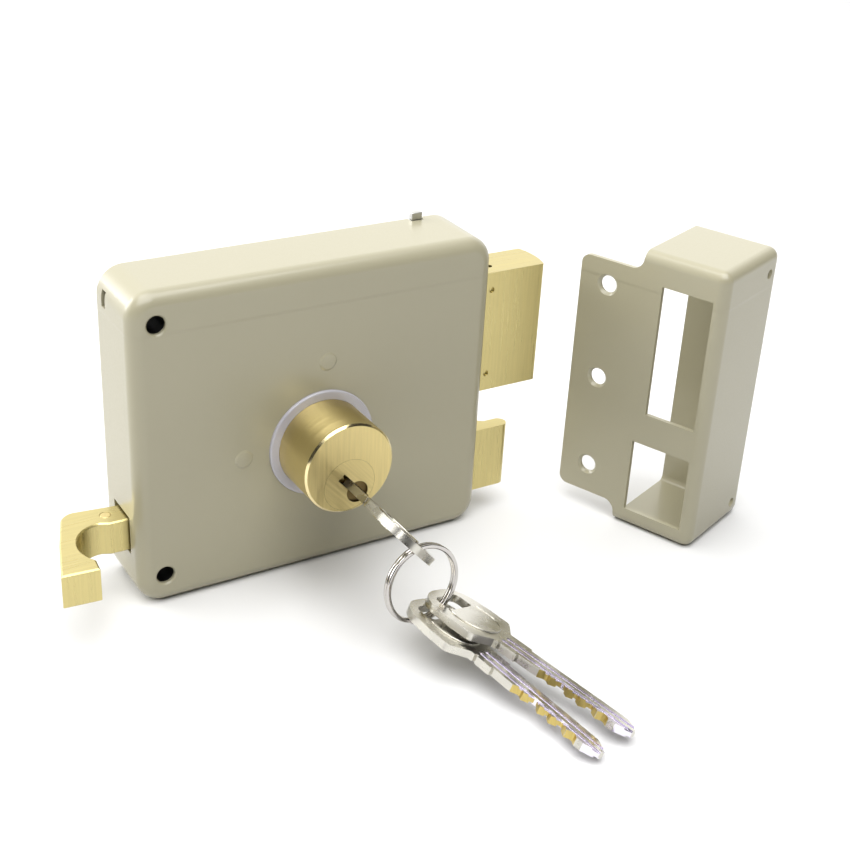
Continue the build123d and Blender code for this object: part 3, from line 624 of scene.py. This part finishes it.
barrel_side = turned_brass("turned_brass", yellow_brass, rough=(0.30, 0.42))
barrel_rim = turned_brass("chamfer_brass", bright_brass, rough=(0.16, 0.24))
barrel_face = brushed_brass("face_brass", yellow_brass, up_the_face)
plug_face = brushed_brass("plug_face_brass", yellow_brass, up_the_face, turn=-plug_turn)
# Painted shade: a dark brass tone for the shade inside the plug's slot.
slot_shade_brass = brushed_brass("slot_shade_brass", slot_shade_tone, up_the_face, dim=0.8, rough=(0.4, 0.5))
# Painted shade: a near-black tone for the shade in the narrow gap round the plug.
seam_shade_brass = brushed_brass("seam_shade_brass", seam_shade_tone, up_the_face, dim=0.8, rough=(0.5, 0.6))
pin_brass = brushed_brass("pin_brass", yellow_brass, grain_along_z)

barrel_coats = (barrel_side, barrel_rim, barrel_face, seam_shade_brass)
barrel = dressed("cylinder_body", "barrel", "case", "satin_brass", barrel_ease, *barrel_coats)
rim_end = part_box("cylinder_body")[0][1] + rim_deep
plug_z = (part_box("plug")[0][2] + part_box("plug")[1][2]) / 2
plug_radius = (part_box("plug")[1][0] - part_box("plug")[0][0]) / 2
coated(barrel, 1, lambda face: face.center.y < rim_end)
coated(barrel, 2, lambda face: face.center.y < rim_end and face.normal.y < -face_on)
# The walls of the gap round the plug take the painted gap shade.
coated(barrel, 3, lambda face: face.normal.y > -face_on and from_plug(face) < plug_radius + seam_half)

# The plug's slot walls and hidden faces keep the painted slot shade.
plug_coats = (slot_shade_brass, plug_face, seam_shade_brass)
plug = dressed("plug", "plug_with_slot", "plug_and_key", "satin_brass", plug_ease, *plug_coats)
plug_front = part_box("plug")[0][1] + face_slack
coated(plug, 1, lambda face: face.normal.y < -face_on and face.center.y < plug_front)
# The plug's side by the gap takes the painted gap shade.
coated(plug, 2, lambda face: face.normal.y > -rolled_off and from_plug(face) > plug_radius - seam_half)
dressed("driver_pins", "upper_pins", "case", "bright_brass", pin_ease, pin_brass)
dressed("key_pins", "lower_pins", "plug_and_key", "bright_brass", pin_point_ease, pin_brass)
dressed("plug_clip", "clip_behind_plug", "plug_and_key", "spring_steel", gear_ease, spring)
dressed("pinion", "gear_on_plug", "plug_and_key", "spring_steel", gear_ease, spring)

# The collar round the cylinder is moulded in a milky, half-clear plastic with a
# glossy skin and a faint violet cast.
collar_ease = 0.1 * mm
milk = (0.52, 0.51, 0.56)
milk_dark = (0.48, 0.47, 0.53)
milk_light = (0.56, 0.55, 0.59)
light_soaks_in = 2.0 * mm
milky, milky_tree, milky_shader = material("milky_plastic", milk, 0, roughness=0.22)
milky_cloud = noise(milky_tree, even, scale=120.0, detail=3.0)
tint(milky_tree, milky_shader, milky_cloud, milk_dark, milk_light)
milky_shader.inputs["Transmission Weight"].default_value = 0.15
milky_shader.inputs["Subsurface Weight"].default_value = 0.3
milky_shader.inputs["Subsurface Radius"].default_value = [light_soaks_in] * 3
milky_shader.inputs["Coat Weight"].default_value = 0.5
bumps(milky_tree, milky_shader, noise(milky_tree, even, scale=700.0), depth=0.003 * mm)
dressed("collar", "collar_ring", "case", "milky_plastic", collar_ease, milky)

# Deadbolt, latch and pull are cut from solid brass bar, with a fine saw and file
# grain on each face. Their steel tails, pins and rivets stay inside the case.
pale_brass = (0.61, 0.52, 0.235)
filed = (0.26, 0.38)
faces_up = 0.7
upright_grain = brushed_brass("bolt_brass", pale_brass, grain_along_z, dim=0.9, rough=filed)
level_grain = brushed_brass("bolt_top_brass", pale_brass, grain_along_x, dim=0.9, rough=filed)
brass_bars = {
    "deadbolt_head": ("deadbolt_block", "deadbolt", 0.25),
    "latch_head": ("latch_block", "latch", 0.25),
    "pull_hook": ("hooked_pull", "latch", 0.2),
}
for node, (name, body, ease) in brass_bars.items():
    bar = dressed(node, name, body, "satin_brass", ease * mm, upright_grain, level_grain)
    coated(bar, 1, lambda face: abs(face.normal.z) > faces_up)
bolt_fittings = {
    "deadbolt_tail": ("tail_with_rack", "deadbolt", "zinc_steel", 0.1, plated),
    "deadbolt_rivets": ("rivets_in_tail", "deadbolt", "zinc_steel", 0.3, plated),
    "latch_bar": ("bar_to_pull", "latch", "zinc_steel", 0.2, plated),
    "latch_pin": ("pin_in_latch", "latch", "bright_brass", 0.1, pin_brass),
    "pull_pin": ("pin_in_pull", "latch", "bright_brass", 0.25, pin_brass),
}
for node, (name, body, slot, ease, coat) in bolt_fittings.items():
    dressed(node, name, body, slot, ease * mm, coat)

# The keys are nickel-plated brass. Their cuts were made after the plating, so
# bare yellow brass shows in them. A thin bead frames the plain oval of the bow.
key_ease = 0.1 * mm
key_half = 1.2 * mm
key_shift = 2.2 * mm
groove_from = 26.5 * mm
groove_reach = 2.4 * mm
groove_level = 0.97 * key_half
cut_from = 38.5 * mm
cut_to = 68.0 * mm
cut_low = 0.9 * mm
cut_high = 3.45 * mm
cut_longest = 8.0 * mm
cut_lean = 0.3
end_lean = 0.5
flat_lean = 0.7
panel_low = 5.4 * mm
panel_high = 23.4 * mm
panel_half = 6.6 * mm
panel_face = 1.4 * mm
hole_end = 10.8 * mm
bead_half = 0.2 * mm
bead_points = 60
bead_sides = 10
scratches_deep = 0.002 * mm


def nickel(name, colour, rough):
    """Nickel plate with soft clouds and fine scratches."""
    made, tree, shader = material(name, colour, 1, roughness=0.25)
    cloud = noise(tree, even, scale=160.0, detail=4.0)
    grained(tree, shader, cloud, colour, dim=0.9, rough=rough)
    bumps(tree, shader, noise(tree, even, scale=1500.0, detail=3.0), scratches_deep)
    return made


key_nickel = nickel("key_nickel", (0.67, 0.65, 0.585), rough=(0.20, 0.32))
blade_nickel = nickel("blade_nickel", (0.62, 0.58, 0.64), rough=(0.22, 0.34))
groove_nickel = nickel("groove_nickel", (0.88, 0.84, 0.95), rough=(0.12, 0.2))
cut_brass = brushed_brass("cut_brass", (0.66, 0.52, 0.18), grain_along_z)


def key_frame(origin, along, normal):
    """Matrix from a key's own frame, X to its tip and Y to its cuts, to the lock."""
    across = normal.cross(along)
    return Matrix.Translation(origin) @ Matrix((along, across, normal)).transposed().to_4x4()


def leaning_frame(origin, heading, dip, lean):
    """Frame of a spare key that lies with its tip down and its bow leaning."""
    round_z, down, roll = radians(heading), radians(dip), radians(lean)
    along = Vector((sin(round_z) * cos(down), -cos(round_z) * cos(down), -sin(down)))
    across = Vector((cos(round_z), sin(round_z), 0))
    level = across.cross(along)
    return key_frame(origin, along, level * cos(roll) - across * sin(roll))


bead_tree, bead_sizes = size_tree("panel_bead", "Start", "Sweep", "Long", "Wide", "Face", "Wire")
arc = put(
    bead_tree,
    "GeometryNodeCurveArc",
    {
        "Resolution": bead_points,
        "Radius": 1.0,
        "Start Angle": bead_sizes["Start"],
        "Sweep Angle": bead_sizes["Sweep"],
    },
)
oval = put(
    bead_tree,
    "ShaderNodeCombineXYZ",
    {"X": bead_sizes["Long"], "Y": bead_sizes["Wide"], "Z": 1.0},
)
stretched = put(bead_tree, "GeometryNodeTransform", {"Geometry": arc, "Scale": oval})
raised_by = put(bead_tree, "ShaderNodeCombineXYZ", {"Z": bead_sizes["Face"]})
raised = put(bead_tree, "GeometryNodeTransform", {"Geometry": stretched, "Translation": raised_by})
bead_section = put(
    bead_tree,
    "GeometryNodeCurvePrimitiveCircle",
    {"Resolution": bead_sides, "Radius": bead_sizes["Wire"]},
)
bead = put(
    bead_tree,
    "GeometryNodeCurveToMesh",
    {"Curve": raised, "Profile Curve": bead_section, "Fill Caps": True},
)
bead_under = put(bead_tree, "GeometryNodeTransform", {"Geometry": bead, "Rotation": (pi, 0, 0)})
bead_pair = put(bead_tree, "GeometryNodeJoinGeometry", {"Geometry": bead})
bead_tree.links.new(bead_under.outputs[0], bead_pair.inputs[0])
beads = put(
    bead_tree,
    "GeometryNodeInstanceOnPoints",
    {"Points": bead_sizes["Points"], "Instance": bead_pair},
)
finished_tree(bead_tree, beads, bead_sizes["Coat"])


def dressed_key(node, name, body, place):
    """A key with grooves, bare brass in its cuts and a bead on both sides."""
    coats = (key_nickel, cut_brass, groove_nickel, blade_nickel)
    piece = dressed(node, name, body, "nickel", key_ease, *coats)
    back = place.inverted()
    turn = back.to_3x3()
    for face in piece.data.polygons:
        middle = back @ face.center
        out = turn @ face.normal
        corners_x = [(back @ piece.data.vertices[i].co).x for i in face.vertices]
        on_blade = middle.x > groove_from and abs(out.x) < end_lean
        in_cut = cut_from < middle.x < cut_to and cut_low < middle.y < cut_high
        in_cut = in_cut and max(corners_x) - min(corners_x) < cut_longest
        if in_cut and out.y > cut_lean and abs(out.z) < cut_lean:
            face.material_index = coats.index(cut_brass)
        elif on_blade and abs(middle.y) < groove_reach and abs(middle.z) < groove_level:
            face.material_index = coats.index(groove_nickel)
        elif on_blade and abs(out.z) > flat_lean:
            face.material_index = coats.index(blade_nickel)
    middle_x = (panel_low + panel_high) / 2
    reach = (panel_high - panel_low) / 2
    open_half = acos((hole_end - middle_x) / reach)
    sizes = {
        "Start": -open_half,
        "Sweep": 2 * open_half,
        "Long": reach,
        "Wide": panel_half,
        "Face": panel_face,
        "Wire": bead_half,
    }
    bead = grown(name + "_bead", bead_tree, [(middle_x, 0, 0)], key_nickel, place, sizes)
    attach(bead, body)


lock_key_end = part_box("key_in_lock")[0][1]
lock_key_place = key_frame(
    Vector((sin(plug_turn) * key_shift, lock_key_end, plug_z - cos(plug_turn) * key_shift)),
    along=Vector((0, 1, 0)),
    normal=Vector((cos(plug_turn), 0, sin(plug_turn))),
)
spare_a_bow = Vector((12.6, -73.8, -29.2)) * mm
spare_b_bow = Vector((7.0, -74.1, -30.4)) * mm
spare_a_place = leaning_frame(spare_a_bow, heading=17.5, dip=8.0, lean=20.0)
spare_b_place = leaning_frame(spare_b_bow, heading=12.2, dip=7.8, lean=20.0)
dressed_key("key_in_lock", "key_in_plug", "plug_and_key", lock_key_place)
dressed_key("spare_key_a", "upper_spare_key", "spare_a", spare_a_place)
dressed_key("spare_key_b", "lower_spare_key", "spare_b", spare_b_place)

# The split ring is flat wire wound twice round, with a step where one turn
# passes to the other, and polished nickel plate.
ring_middle = Vector((4.6, -78.8, -20.2)) * mm
ring_normal = Vector((-0.07, 0.99, -0.11)).normalized()
ring_outer = 12.25 * mm
ring_start = radians(200)
wire_radial = 1.4 * mm
wire_axial = 1.0 * mm
wire_round = 0.3 * mm
turn_gap = 1.08 * mm
step_share = 0.09
wound_turns = 1.93
ring_nickel = nickel("ring_nickel", (0.60, 0.575, 0.55), rough=(0.07, 0.14))
ring_lean = ring_normal.to_track_quat("Z", "X").to_matrix().to_4x4()
ring_place = Matrix.Translation(ring_middle) @ ring_lean @ Matrix.Rotation(ring_start, 4, "Z")
ring = grown(
    "wound_ring",
    wire_tree,
    [(0, 0, 0)],
    ring_nickel,
    ring_place,
    {
        "Radius": ring_outer - wire_radial / 2,
        "Turns": wound_turns,
        "Wide": wire_radial,
        "High": wire_axial,
        "Round": wire_round,
        "Step Start": (1 - step_share) / wound_turns,
        "Step End": 1 / wound_turns,
        "Step Low": -turn_gap / 2,
        "Step High": turn_gap / 2,
    },
)
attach(ring, "ring")
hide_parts("split_ring")
